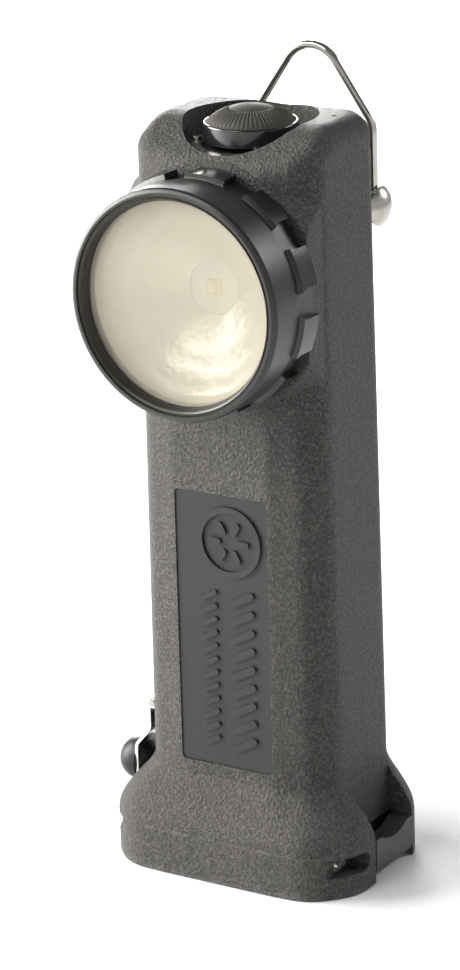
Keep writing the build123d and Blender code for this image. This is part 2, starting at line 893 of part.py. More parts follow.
with BuildPart() as clip_lever:
    # The strip, seen from the side: thumb tab, shoulder behind the pin, long leg and jaw
    with BuildSketch(across(-clip_half_width)) as strip:
        with BuildLine() as strip_line:
            FilletPolyline(
                (34.0, 166.0),
                (30.7, 155.5),
                (30.7, 143.5),
                (25.6, 132.0),
                (25.6, 101.0),
                (19.9, 92.0),
                (22.6, 86.0),
                radius=(6, 6, 6, 8, 3),
            )
        trace(line_width=sheet)
    extrude(amount=2 * clip_half_width)
    # Thumb tab's rounded corners
    fillet(clip_lever.edges().filter_by(Axis.Y, tolerance=30).group_by(Axis.Z)[-1], 0.4)
    # Flanges that carry the pin
    for side_sign in (-1, 1):
        with BuildSketch(across(side_sign * (clip_half_width - sheet))):
            with Locations(clip_axis_point):
                Circle(4.0)
            with Locations((clip_pin_y + 2.2, clip_pin_z)):
                Rectangle(4.4, 8.0)
        extrude(amount=side_sign * sheet)
    with BuildSketch(across(-clip_half_width - 1)):
        with Locations(clip_axis_point):
            Circle(clip_pin_radius + running_fit)
    extrude(amount=2 * clip_half_width + 2, mode=Mode.SUBTRACT)

clip_lever.part.label = "clip_lever"
export_step(clip_lever.part, "parts/clip_lever.step")

pin_axis = Axis((0, clip_pin_y, clip_pin_z), (1, 0, 0))
pin_shoulder_x = ring_x + ring_eye_half + 0.3

with BuildPart() as clip_pin:
    with BuildSketch(Plane.XY.offset(clip_pin_z)):
        with BuildLine():
            head_rim = (pin_head_x, clip_pin_y + pin_head_radius)
            head_tip = (pin_head_x + pin_head_bulge, clip_pin_y)
            head_arc = cap_radius(pin_head_radius, pin_head_bulge)
            Polyline(
                (0, clip_pin_y),
                (0, clip_pin_y + clip_pin_radius),
                (pin_shoulder_x, clip_pin_y + clip_pin_radius),
                (pin_shoulder_x, clip_pin_y + pin_shoulder_radius),
                (pin_head_x, clip_pin_y + pin_shoulder_radius),
                head_rim,
            )
            RadiusArc(head_rim, head_tip, head_arc)
            Line(head_tip, (0, clip_pin_y))
        make_face()
    revolve(axis=pin_axis)
    mirror(about=Plane.YZ)

clip_pin.part.label = "clip_pin"
export_step(clip_pin.part, "parts/clip_pin.step")

spring_base = (-4.9, clip_pin_y, clip_pin_z)
clip_spring = coil(3.05, 0.9, 1.4, 9.8, spring_base, (1, 0, 0))
clip_spring.label = "clip_spring"
export_step(clip_spring, "parts/clip_spring.step")

with BuildPart() as clip_rivets:
    with BuildSketch(along(pad_y - rivet_depth)):
        with Locations(*rivet_points):
            Circle(rivet_radius)
    extrude(amount=-rivet_depth - sheet)
    with BuildSketch(along(pad_y + sheet)):
        with Locations(*rivet_points):
            Circle(rivet_head_radius)
    extrude(amount=-0.9)
    fillet(clip_rivets.edges().group_by(Axis.Y)[-1], 0.6)

clip_rivets.part.label = "clip_rivets"
export_step(clip_rivets.part, "parts/clip_rivets.step")

# ---- Wire ring: two legs, sloping shoulders and a rounded top, on flattened eyes ----

with BuildPart() as d_ring:
    with BuildLine() as ring_path:
        FilletPolyline(
            (-ring_x, clip_pin_y, clip_pin_z + 3.2),
            (-ring_x, clip_pin_y, ring_shoulder_z),
            (0, clip_pin_y, ring_corner_z),
            (ring_x, clip_pin_y, ring_shoulder_z),
            (ring_x, clip_pin_y, clip_pin_z + 3.2),
            radius=(7, 7.5, 7),
        )
    with BuildSketch(Plane(ring_path.line @ 0, z_dir=ring_path.line % 0)):
        Circle(wire_radius)
    sweep(path=ring_path.line)
    for side_sign in (-1, 1):
        with BuildSketch(across(side_sign * (ring_x - ring_eye_half))):
            with Locations(clip_axis_point):
                Circle(eye_radius)
                Circle(clip_pin_radius + running_fit, mode=Mode.SUBTRACT)
        extrude(amount=side_sign * 2 * ring_eye_half)

d_ring.part.label = "d_ring"
export_step(d_ring.part, "parts/d_ring.step")

# ---- Spring catch: leaf, knob and pin ----

with BuildPart() as catch_leaf:
    with BuildSketch(along(catch_front_y)):
        with BuildLine():
            FilletPolyline(
                (catch_x - catch_eye_radius + leaf_thickness / 2, catch_z),
                (catch_x - catch_eye_radius + leaf_thickness / 2, 28.2),
                (leaf_x, 23.6),
                (leaf_x, 8.4),
                (-27.2, 5.4),
                radius=(3, 3, 2),
            )
        trace(line_width=leaf_thickness)
        with Locations((catch_x, catch_z)):
            Circle(catch_eye_radius)
            Circle(catch_pin_radius + 0.05, mode=Mode.SUBTRACT)
    extrude(amount=-catch_width)
    with BuildSketch(along(catch_middle_y - catch_lug_half - 0.3)):
        with Locations((catch_x, catch_z + 1)):
            Rectangle(8, 7)
    extrude(amount=-2 * catch_lug_half - 0.6, mode=Mode.SUBTRACT)
    with BuildSketch(across(-40)):
        with Locations((catch_middle_y, knob_z)):
            Circle(knob_neck_radius)
    extrude(amount=20, mode=Mode.SUBTRACT)

catch_leaf.part.label = "catch_leaf"
export_step(catch_leaf.part, "parts/catch_leaf.step")

knob_inner_x = 2 * leaf_x - knob_x

with BuildPart() as catch_knob:
    # Domes outside and inside the leaf, joined by a neck through its hole
    with BuildSketch(Plane.XY.offset(knob_z)):
        with BuildLine():
            outer_edge = (knob_x - 1.2, catch_middle_y + knob_radius)
            outer_tip = (knob_x - knob_bulge, catch_middle_y)
            outer_arc = cap_radius(knob_radius, knob_bulge - 1.2)
            inner_edge = (knob_inner_x, catch_middle_y + knob_inner_radius)
            inner_tip = (knob_inner_x + knob_inner_bulge, catch_middle_y)
            inner_arc = cap_radius(knob_inner_radius, knob_inner_bulge)
            RadiusArc(outer_tip, outer_edge, outer_arc)
            Polyline(
                outer_edge,
                (knob_x, catch_middle_y + knob_radius),
                (knob_x, catch_middle_y + knob_neck_radius - 0.02),
                (knob_inner_x, catch_middle_y + knob_neck_radius - 0.02),
                inner_edge,
            )
            RadiusArc(inner_edge, inner_tip, inner_arc)
            Line(inner_tip, outer_tip)
        make_face()
    revolve(axis=Axis((0, catch_middle_y, knob_z), (1, 0, 0)))

catch_knob.part.label = "catch_knob"
export_step(catch_knob.part, "parts/catch_knob.step")

with BuildPart() as catch_pin:
    with BuildSketch(along(catch_front_y - 0.4)):
        with Locations((catch_x, catch_z)):
            Circle(catch_pin_radius)
    extrude(amount=-catch_width - 0.8)

catch_pin.part.label = "catch_pin"
export_step(catch_pin.part, "parts/catch_pin.step")

# ---- Release lever in its pocket: lever, pin and spring ----

with BuildPart() as release_lever:
    with BuildSketch(along(-lever_half_length)):
        with Locations((release_x, release_z)):
            Circle(lever_face_x - release_x)
        with Locations(((lever_face_x + 27.6) / 2, (release_z + lever_top) / 2)):
            Rectangle(lever_face_x - 27.6, lever_top - release_z)
    extrude(amount=-2 * lever_half_length)
    with BuildSketch(across(20)):
        with Locations((0, lever_top + 9.5)):
            Circle(11.2)
    extrude(amount=20, mode=Mode.SUBTRACT)
    with BuildSketch(along(-lever_half_length - 1)):
        with Locations((release_x, release_z)):
            Circle(release_pin_radius + running_fit)
    extrude(amount=-2 * lever_half_length - 2, mode=Mode.SUBTRACT)
    with BuildSketch(along(-2.6)):
        with Locations((28.0, release_z)):
            Rectangle(7.0, 4.6)
    extrude(amount=-5.2, mode=Mode.SUBTRACT)

release_lever.part.label = "release_lever"
export_step(release_lever.part, "parts/release_lever.step")

with BuildPart() as release_pin:
    with BuildSketch(along(-pocket_half_length - 1.5)):
        with Locations((release_x, release_z)):
            Circle(release_pin_radius)
    extrude(amount=-2 * pocket_half_length - 3)

release_pin.part.label = "release_pin"
export_step(release_pin.part, "parts/release_pin.step")

release_spring = coil(1.6, 0.45, 0.8, 4.0, (release_x, -2.0, release_z), (0, 1, 0))
release_spring.label = "release_spring"
export_step(release_spring, "parts/release_spring.step")

# ---- Charging contacts in the slots ----

with BuildPart() as charge_contacts:
    with BuildSketch(across(slot_floor_x)):
        with Locations((contact_y, slot_bottom + slot_height / 2)):
            RectangleRounded(5.0, 3.2, 1.2)
    extrude(amount=0.4)
    with BuildSketch(across(slot_floor_x)):
        with Locations((contact_y, slot_bottom + slot_height / 2)):
            SlotOverall(3.6, 1.4)
    extrude(amount=1.0)
    mirror(about=Plane.YZ)

charge_contacts.part.label = "charge_contacts"
export_step(charge_contacts.part, "parts/charge_contacts.step")

# ---- Battery pack: foot, seal, case halves, cap, cells, straps and contacts ----

with BuildPart() as pack_foot:
    extrude(pack_plan(0, foot_width, foot_depth, foot_radius), amount=case_bottom)
    extrude(
        pack_plan(
            case_bottom,
            case_width - 2 * case_wall - 0.2,
            case_depth - 2 * case_wall - 0.2,
            case_radius - case_wall,
        ),
        amount=2.6,
    )
    with BuildSketch(Plane.XY):
        with Locations((0, 9.5), (0, -11.5)):
            SlotOverall(30, 7)
    extrude(amount=2.5, mode=Mode.SUBTRACT)
    chamfer(pack_foot.faces().sort_by(Axis.Z)[0].outer_wire().edges(), 0.5)

pack_foot.part.label = "pack_foot"
export_step(pack_foot.part, "parts/pack_foot.step")

with BuildPart() as pack_seal:
    extrude(
        pack_plan(case_bottom + 0.02, foot_width - 1.4, foot_depth - 1.4, foot_radius - 0.7),
        amount=1.2,
    )
    extrude(
        pack_plan(case_bottom, case_width + 0.4, case_depth + 0.4, case_radius + 0.2),
        amount=2,
        mode=Mode.SUBTRACT,
    )

pack_seal.part.label = "pack_seal"
export_step(pack_seal.part, "parts/pack_seal.step")

with BuildPart() as pack_case:
    extrude(
        pack_plan(case_bottom + 0.02, case_width, case_depth, case_radius),
        amount=case_top - case_bottom - 0.02,
    )
    extrude(
        pack_plan(
            case_bottom,
            case_width - 2 * case_wall,
            case_depth - 2 * case_wall,
            case_radius - case_wall,
        ),
        amount=case_top,
        mode=Mode.SUBTRACT,
    )

with BuildPart() as pack_case_front:
    add(pack_case.part)
    split(bisect_by=Plane.XZ.offset(-hollow_y), keep=Keep.TOP)

pack_case_front.part.label = "pack_case_front"
export_step(pack_case_front.part, "parts/pack_case_front.step")

with BuildPart() as pack_case_rear:
    add(pack_case.part)
    split(bisect_by=Plane.XZ.offset(-hollow_y), keep=Keep.BOTTOM)

pack_case_rear.part.label = "pack_case_rear"
export_step(pack_case_rear.part, "parts/pack_case_rear.step")

with BuildPart() as pack_cap:
    extrude(pack_plan(case_top + 0.02, case_width, case_depth, case_radius), amount=3)
    chamfer(pack_cap.edges().group_by(Axis.Z)[-1], 0.6)
    extrude(
        pack_plan(
            case_top - 2.4,
            case_width - 2 * case_wall - 0.2,
            case_depth - 2 * case_wall - 0.2,
            case_radius - case_wall,
        ),
        amount=2.6,
    )
    with BuildSketch(Plane.XY.offset(case_top + 3.02)):
        with Locations((-contact_x, hollow_y), (contact_x, hollow_y)):
            Circle(contact_radius + 0.1)
    extrude(amount=-1.0, mode=Mode.SUBTRACT)

pack_cap.part.label = "pack_cap"
export_step(pack_cap.part, "parts/pack_cap.step")

with BuildPart() as battery_cells:
    for bottom in cell_bottoms:
        with BuildSketch(Plane.XY.offset(bottom)):
            with Locations((-cell_x, hollow_y), (cell_x, hollow_y)):
                Circle(cell_radius)
        extrude(amount=cell_length)
    chamfer(battery_cells.edges().filter_by(GeomType.CIRCLE), 0.5)
    for bottom in cell_bottoms:
        with BuildSketch(Plane.XY.offset(bottom + cell_length)):
            with Locations((-cell_x, hollow_y), (cell_x, hollow_y)):
                Circle(3.2)
        extrude(amount=cell_nub - 0.02)

battery_cells.part.label = "battery_cells"
export_step(battery_cells.part, "parts/battery_cells.step")

with BuildPart() as cell_straps:
    with BuildSketch(Plane.XY.offset(cell_bottoms[0] - 0.32)):
        with Locations((0, hollow_y)):
            RectangleRounded(2 * cell_x + 8, 7, 1)
    extrude(amount=0.3)
    with BuildSketch(Plane.XY.offset(cell_bottoms[1] + cell_length + cell_nub)):
        with Locations((-cell_x, hollow_y), (cell_x, hollow_y)):
            RectangleRounded(8, 7, 1)
    extrude(amount=0.3)

cell_straps.part.label = "cell_straps"
export_step(cell_straps.part, "parts/cell_straps.step")

with BuildPart() as pack_contacts:
    with BuildSketch(Plane.XY.offset(case_top + 2.04)):
        with Locations((-contact_x, hollow_y), (contact_x, hollow_y)):
            Circle(contact_radius)
    extrude(amount=1.6)
    chamfer(pack_contacts.edges().group_by(Axis.Z)[-1], 0.3)

pack_contacts.part.label = "pack_contacts"
export_step(pack_contacts.part, "parts/pack_contacts.step")

# ---- Contact carrier above the pack, its springs and screws, and the leads ----

carrier_screw_x = hollow_width / 2 - 2.0

with BuildPart() as contact_carrier:
    extrude(
        pack_plan(carrier_bottom, hollow_width - 0.2, hollow_depth - 0.2, hollow_radius - 0.1),
        amount=carrier_top - carrier_bottom,
    )
    with BuildSketch(Plane.XY.offset(carrier_bottom)):
        with Locations((-carrier_screw_x, hollow_y), (carrier_screw_x, hollow_y)):
            Circle(1.0)
    extrude(amount=carrier_top - carrier_bottom, mode=Mode.SUBTRACT)

contact_carrier.part.label = "contact_carrier"
export_step(contact_carrier.part, "parts/contact_carrier.step")

with BuildPart() as contact_springs:
    for side_sign in (-1, 1):
        spring_foot = (side_sign * contact_x, hollow_y, case_top + 4.1)
        add(coil(2.6, 0.7, 1.6, 5.0, spring_foot, (0, 0, 1)))

contact_springs.part.label = "contact_springs"
export_step(contact_springs.part, "parts/contact_springs.step")

with BuildPart() as carrier_screws:
    with BuildSketch(Plane.XY.offset(carrier_bottom)):
        with Locations((-carrier_screw_x, hollow_y), (carrier_screw_x, hollow_y)):
            Circle(1.7)
    extrude(amount=-1.1)
    with BuildSketch(Plane.XY.offset(carrier_bottom)):
        with Locations((-carrier_screw_x, hollow_y), (carrier_screw_x, hollow_y)):
            Circle(0.98)
    extrude(amount=carrier_top - carrier_bottom)

carrier_screws.part.label = "carrier_screws"
export_step(carrier_screws.part, "parts/carrier_screws.step")

with BuildPart() as lead_supply:
    for side_sign in (-1, 1):
        supply_points = [
            (side_sign * 9, -1.0, carrier_top),
            (side_sign * 9, -1.0, 117.4),
            (side_sign * 10.5, 8.5, 122.5),
            (side_sign * 11.5, 8.4, 127.5),
            (side_sign * 11.5, board_front_y + board_thickness + 0.02, 127.5),
        ]
        add(lead(supply_points, (2.6, 2.2, 2.2), 0.6))

lead_supply.part.label = "lead_supply"
export_step(lead_supply.part, "parts/lead_supply.step")

with BuildPart() as lead_lamp:
    for side_sign in (-1, 1):
        lamp_points = [
            (side_sign * wire_hole_x, board_front_y, 128.0),
            (side_sign * wire_hole_x, -2.2, 128.0),
            (side_sign * wire_hole_x, -5.4, wire_hole_z),
            (side_sign * wire_hole_x, pedestal_y, wire_hole_z),
        ]
        add(lead(lamp_points, (2.4, 2.4), 0.6))

lead_lamp.part.label = "lead_lamp"
export_step(lead_lamp.part, "parts/lead_lamp.step")
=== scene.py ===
"""A right-angle flashlight: materials, small moulded detail, light and camera around the CAD frame."""

import math

import bmesh
import bpy
from mathutils import Matrix, Vector


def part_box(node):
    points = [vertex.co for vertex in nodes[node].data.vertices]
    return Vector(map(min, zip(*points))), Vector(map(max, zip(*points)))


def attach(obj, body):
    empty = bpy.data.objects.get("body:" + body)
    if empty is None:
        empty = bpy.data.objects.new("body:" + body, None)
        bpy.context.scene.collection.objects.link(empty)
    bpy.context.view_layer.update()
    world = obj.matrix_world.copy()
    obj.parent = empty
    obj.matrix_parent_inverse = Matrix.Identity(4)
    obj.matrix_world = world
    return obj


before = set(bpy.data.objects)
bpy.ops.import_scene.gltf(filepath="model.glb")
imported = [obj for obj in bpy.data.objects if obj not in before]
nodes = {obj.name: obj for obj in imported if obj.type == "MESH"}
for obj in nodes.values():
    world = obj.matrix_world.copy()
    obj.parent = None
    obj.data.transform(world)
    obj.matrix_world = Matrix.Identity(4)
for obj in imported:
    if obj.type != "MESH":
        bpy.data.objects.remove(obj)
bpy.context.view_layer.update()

MM = 0.001

# Where the finishes change over the housing and the bezel
skirt_crease_z = 10.5 * MM
skirt_crease_half = 0.55 * MM
foot_scuff_z = 2.2 * MM
lens_axis_z = 140.0 * MM
band_radius = 26.4 * MM
lug_radius = 26.7 * MM
lug_polish = 0.55
reflector_rings = 1500.0

# The ribs on the button's pad; the section is across and up, in shares of the rib's half width and rise
rib_count = 56
rib_inner_share = 0.48
rib_outer_share = 0.975
rib_half_width = 0.32 * MM
rib_rise = 0.16 * MM
rib_sunk = 0.08 * MM
rib_steps = 6
rib_section = ((-1, 0.0), (-0.55, 0.75), (0, 1.0), (0.55, 0.75), (1, 0.0))

# The floor: a disc that curves up to a low wall, in metres
floor_centre_radius = 0.4
floor_radius = 2.4
floor_curve_radius = 0.9
floor_curve_steps = 12
floor_wall_top = 2.4
floor_sides = 72
floor_drop = 0.0002

# The camera, in degrees, metres and millimetres of lens
camera_angles = (31.57, 18.52, -1.65)
camera_distance = 0.847
camera_lens = 137.67
camera_sensor = 36.0
camera_shift = (-0.0350, 0.0074)
target = Vector((0.0, 0.0, 0.087))

# ---- Material building ----


class Finish:
    """One material: a Principled shader fed by noise that is read in the object's own space."""

    def __init__(self, name, roughness=0.5, metallic=0.0, specular=0.5):
        self.material = bpy.data.materials.new(name)
        self.material.use_nodes = True
        self.tree = self.material.node_tree
        self.shader = self.tree.nodes["Principled BSDF"]
        self.shader.inputs["Roughness"].default_value = roughness
        self.shader.inputs["Metallic"].default_value = metallic
        self.shader.inputs["Specular IOR Level"].default_value = specular
        self.place = self.tree.nodes.new("ShaderNodeTexCoord").outputs["Object"]

    def node(self, kind, **inputs):
        made = self.tree.nodes.new(kind)
        for key, value in inputs.items():
            self.feed(made.inputs[key], value)
        return made

    def feed(self, socket, value):
        """Links a socket to another, or sets it to a constant."""
        if isinstance(value, bpy.types.NodeSocket):
            self.tree.links.new(value, socket)
        else:
            socket.default_value = value

    def math(self, operation, *values, clamp=False):
        made = self.tree.nodes.new("ShaderNodeMath")
        made.operation = operation
        made.use_clamp = clamp
        for index, value in enumerate(values):
            self.feed(made.inputs[index], value)
        return made.outputs[0]

    def weighted(self, first, first_share, second, second_share, clamp=False):
        """The sum of two values, each times its share."""
        first_part = self.math("MULTIPLY", first, first_share)
        second_part = self.math("MULTIPLY", second, second_share)
        return self.math("ADD", first_part, second_part, clamp=clamp)

    def stretched(self, scale):
        """The object's space, stretched, for brushed and drawn metal."""
        return self.node("ShaderNodeMapping", Vector=self.place, Scale=scale).outputs[0]

    def noise(self, scale, detail=2.0, rough=0.5, place=None):
        made = self.node(
            "ShaderNodeTexNoise",
            Vector=place or self.place,
            Scale=scale,
            Detail=detail,
            Roughness=rough,
        )
        return made.outputs["Fac"]

    def cells(self, scale, place=None):
        made = self.node("ShaderNodeTexVoronoi", Vector=place or self.place, Scale=scale)
        return made.outputs["Distance"]

    def between(self, value, low, high, start=0.0, end=1.0):
        """Maps value from low..high to start..end, without going past either."""
        made = self.tree.nodes.new("ShaderNodeMapRange")
        keys = ("Value", "From Min", "From Max", "To Min", "To Max")
        for key, given in zip(keys, (value, low, high, start, end)):
            self.feed(made.inputs[key], given)
        return made.outputs[0]

    def blend(self, factor, first, second):
        """A colour between two, which are tuples or sockets."""
        made = self.tree.nodes.new("ShaderNodeMix")
        made.data_type = "RGBA"
        self.feed(made.inputs[0], factor)
        self.feed(made.inputs[6], (*first, 1) if isinstance(first, tuple) else first)
        self.feed(made.inputs[7], (*second, 1) if isinstance(second, tuple) else second)
        return made.outputs[2]

    def colour(self, value):
        self.feed(self.shader.inputs["Base Color"], value)

    def roughness(self, value):
        self.feed(self.shader.inputs["Roughness"], value)

    def bump(self, height, distance):
        made = self.node("ShaderNodeBump", Height=height, Distance=distance, Strength=1.0)
        self.feed(self.shader.inputs["Normal"], made.outputs[0])

    def axes(self):
        split = self.node("ShaderNodeSeparateXYZ", Vector=self.place)
        return split.outputs[0], split.outputs[1], split.outputs[2]

    def fed(self, key):
        """What feeds one of the shader's linked sockets."""
        return self.shader.inputs[key].links[0].from_socket


def grained(name, dark, light, grain, depth, roughness):
    """Moulded plastic with a coarse spark-eroded grain, painted glints of light on its high spots, and slow
    stains.
    """
    f = Finish(name, roughness)
    coarse = f.noise(grain, 3.0, 0.6)
    fine = f.noise(grain * 2.7, 2.0, 0.5)
    slow = f.noise(60.0, 3.0, 0.6)
    # The grain's high spots take the lighter colour: partly the grain's own tone, partly painted glints of
    # light.
    grain_and_glint_peaks = f.between(f.weighted(coarse, 0.65, fine, 0.35), 0.45, 0.66)
    f.colour(f.blend(f.weighted(grain_and_glint_peaks, 0.80, slow, 0.20, clamp=True), dark, light))
    dulling = f.math("ADD", grain_and_glint_peaks, f.math("MULTIPLY", slow, 0.5))
    f.roughness(f.between(dulling, 0.0, 1.5, roughness - 0.10, roughness + 0.12))
    f.bump(f.weighted(coarse, 0.7, fine, 0.3), depth)
    return f


def smooth_plastic(name, dark, light, roughness, depth=0.00002, coat=0.0):
    """Moulded plastic with a fine texture, faint flow marks and fingerprints in its gloss."""
    f = Finish(name, roughness)
    slow = f.noise(90.0, 4.0, 0.6)
    fine = f.noise(4200.0, 2.0, 0.5)
    marks = f.noise(500.0, 3.0, 0.7, f.stretched((1.0, 1.0, 0.25)))
    f.colour(f.blend(slow, dark, light))
    handling = f.weighted(slow, 0.6, marks, 0.4)
    f.roughness(f.between(handling, 0.3, 0.7, roughness - 0.06, roughness + 0.08))
    f.bump(fine, depth)
    if coat:
        f.shader.inputs["Coat Weight"].default_value = coat
        f.shader.inputs["Coat Roughness"].default_value = 0.12
    return f


def worked_metal(name, dark, light, roughness, stretch, depth=0.00001):
    """Sheet, drawn or turned metal: lines along one direction, stains and small scratches."""
    f = Finish(name, roughness, metallic=1.0)
    lines = f.noise(900.0, 3.0, 0.6, f.stretched(stretch))
    slow = f.noise(140.0, 3.0, 0.6)
    scratches = f.between(f.cells(380.0, f.stretched((0.35, 1.0, 2.2))), 0.0, 0.05, 1.0, 0.0)
    f.colour(f.blend(f.weighted(slow, 0.7, lines, 0.3), dark, light))
    wear = f.weighted(lines, 0.5, slow, 0.5)
    f.roughness(f.between(wear, 0.3, 0.7, roughness - 0.08, roughness + 0.10))
    f.bump(f.math("SUBTRACT", lines, f.math("MULTIPLY", scratches, 0.4)), depth)
    return f


def soft_rubber(name, dark, light, roughness=0.7):
    """Rubber with a faint bloom and fine pits."""
    f = Finish(name, roughness, specular=0.35)
    bloom = f.noise(220.0, 4.0, 0.65)
    pits = f.noise(3000.0, 2.0, 0.5)
    f.colour(f.blend(bloom, dark, light))
    f.roughness(f.between(bloom, 0.3, 0.7, roughness - 0.08, roughness + 0.1))
    f.bump(pits, 0.00002)
    return f


def give(finish, *names):
    """Puts one finish on every material slot of the named CAD nodes."""
    for name in names:
        for slot in nodes[name].material_slots:
            slot.material = finish.material


# ---- Finishes: the outside ----

housing = grained(
    "housing_grain",
    dark=(0.006, 0.0055, 0.0048),
    light=(0.124, 0.116, 0.106),
    grain=1500.0,
    depth=0.00110,
    roughness=0.56,
)
# A painted highlight: a pale line along the skirt's crease, where its edge catches the light; and scuffs
# where the foot meets the ground
height = housing.axes()[2]
off_crease = housing.math("DIVIDE", housing.math("SUBTRACT", height, skirt_crease_z), skirt_crease_half)
crease = housing.math("SUBTRACT", 1.0, housing.math("ABSOLUTE", off_crease), clamp=True)
scuff = housing.between(height, 0.0, foot_scuff_z, 0.8, 0.0)
patches = housing.between(housing.noise(420.0, 3.0, 0.7), 0.38, 0.6)
crease_highlight_and_scuff = housing.math("MULTIPLY", housing.math("MAXIMUM", crease, scuff), patches, clamp=True)
highlight_and_scuff_share = housing.math("MULTIPLY", crease_highlight_and_scuff, 0.55)
# Mixes in the pale colour: painted highlight along the crease, scuff wear at the foot
housing.colour(housing.blend(highlight_and_scuff_share, housing.fed("Base Color"), (0.17, 0.165, 0.16)))
give(housing, "housing")

give(
    smooth_plastic("panel_satin", (0.013, 0.0122, 0.011), (0.022, 0.0205, 0.0185), 0.46, 0.000012),
    "front_panel",
)

# The bezel's band is satin, and its grip lugs, which stand further out, are polished by handling
bezel = smooth_plastic("bezel_satin", (0.014, 0.014, 0.012), (0.024, 0.024, 0.021), 0.34, 0.000008)
bezel_x, _, bezel_z = bezel.axes()
bezel_rise = bezel.math("SUBTRACT", bezel_z, lens_axis_z)
x_squared = bezel.math("MULTIPLY", bezel_x, bezel_x)
rise_squared = bezel.math("MULTIPLY", bezel_rise, bezel_rise)
bezel_out = bezel.math("SQRT", bezel.math("ADD", x_squared, rise_squared))
polish = bezel.between(bezel_out, band_radius, lug_radius, 1.0, lug_polish)
bezel.roughness(bezel.math("MULTIPLY", bezel.fed("Roughness"), polish))
give(bezel, "bezel_ring")

give(
    soft_rubber("seal_rubber", (0.015, 0.015, 0.015), (0.030, 0.030, 0.029)),
    "bezel_o_ring",
    "lens_gasket",
    "stem_seal",
    "pack_seal",
)
give(soft_rubber("knob_rubber", (0.012, 0.012, 0.012), (0.024, 0.024, 0.023), 0.38), "catch_knob")
give(soft_rubber("pad_rubber", (0.034, 0.032, 0.026), (0.052, 0.049, 0.040), 0.66), "button_pad")

# ---- Finishes: the lamp ----

lens = Finish("lens_polycarbonate", 0.16)
lens.colour(lens.blend(lens.noise(70.0, 3.0, 0.6), (0.52, 0.485, 0.395), (0.60, 0.56, 0.46)))
lens.roughness(lens.between(lens.noise(260.0, 4.0, 0.7), 0.3, 0.7, 0.10, 0.24))
lens.bump(lens.noise(1800.0, 2.0, 0.5), 0.000004)
lens.shader.inputs["Alpha"].default_value = 0.30
give(lens, "lens")

reflector = Finish("reflector_silvering", 0.34, metallic=0.55)
reflector.colour(reflector.blend(reflector.noise(120.0, 3.0, 0.6), (0.76, 0.715, 0.60), (0.88, 0.83, 0.71)))
bowl_depth = reflector.axes()[1]
rings = reflector.math("SINE", reflector.math("MULTIPLY", bowl_depth, reflector_rings))
reflector.roughness(reflector.between(reflector.noise(420.0, 3.0, 0.6), 0.3, 0.7, 0.28, 0.42))
facets = reflector.math("ADD", reflector.math("MULTIPLY", rings, 0.7), reflector.cells(700.0))
reflector.bump(facets, 0.00008)
give(reflector, "reflector")

emitter = Finish("emitter_phosphor", 0.25)
emitter.colour(emitter.blend(emitter.noise(2500.0, 2.0, 0.5), (0.88, 0.78, 0.46), (0.95, 0.88, 0.62)))
emitter.bump(emitter.noise(5000.0), 0.00001)
emitter.shader.inputs["Coat Weight"].default_value = 0.8
give(emitter, "led_emitter")

# ---- Finishes: boards, metals, button and pack ----

give(
    smooth_plastic("solder_mask", (0.010, 0.070, 0.028), (0.016, 0.100, 0.042), 0.32, 0.00002),
    "driver_board",
)
give(
    smooth_plastic("white_mask", (0.80, 0.77, 0.66), (0.90, 0.87, 0.76), 0.34, 0.00001),
    "led_board",
)
give(
    smooth_plastic("moulded_packages", (0.012, 0.012, 0.013), (0.030, 0.030, 0.032), 0.45, 0.00003),
    "driver_parts",
    "switch_module",
    "contact_carrier",
)
sink = grained("cast_sink", (0.50, 0.50, 0.52), (0.68, 0.68, 0.70), 2600.0, 0.00004, 0.45)
sink.shader.inputs["Metallic"].default_value = 1.0
give(sink, "heat_sink")

give(
    worked_metal("plated_screws", (0.50, 0.49, 0.46), (0.72, 0.70, 0.66), 0.28, (1.0, 1.0, 1.0)),
    "led_screws",
    "board_screws",
    "switch_screws",
    "carrier_screws",
)
give(
    worked_metal("bright_plate", (0.72, 0.71, 0.68), (0.90, 0.89, 0.86), 0.24, (0.15, 2.0, 2.0)),
    "switch_plate",
)
give(
    worked_metal("brushed_clip", (0.27, 0.265, 0.25), (0.44, 0.43, 0.41), 0.32, (3.0, 0.2, 0.2), 0.00002),
    "clip_base",
    "clip_lever",
)
give(
    worked_metal("spring_wire", (0.50, 0.49, 0.47), (0.74, 0.73, 0.70), 0.25, (2.0, 2.0, 2.0)),
    "switch_spring",
    "clip_spring",
    "release_spring",
)
give(
    worked_metal("turned_pins", (0.40, 0.39, 0.36), (0.62, 0.60, 0.56), 0.22, (0.3, 2.5, 2.5)),
    "clip_pin",
    "clip_rivets",
    "catch_pin",
    "release_pin",
)
give(
    worked_metal("polished_wire", (0.50, 0.49, 0.45), (0.74, 0.72, 0.67), 0.11, (1.0, 1.0, 0.3), 0.000004),
    "d_ring",
)
give(
    worked_metal("leaf_spring_sheet", (0.60, 0.59, 0.56), (0.86, 0.85, 0.81), 0.20, (2.0, 2.0, 0.15)),
    "catch_leaf",
)
give(
    worked_metal("gold_contacts", (0.60, 0.44, 0.18), (0.86, 0.68, 0.34), 0.24, (1.0, 1.0, 1.0)),
    "pack_contacts",
    "contact_springs",
)
give(
    worked_metal("plated_contacts", (0.62, 0.61, 0.58), (0.86, 0.85, 0.81), 0.22, (1.0, 1.0, 1.0)),
    "charge_contacts",
)
give(
    worked_metal("nickel_strip", (0.58, 0.57, 0.54), (0.78, 0.77, 0.73), 0.32, (0.2, 2.0, 2.0)),
    "cell_straps",
)

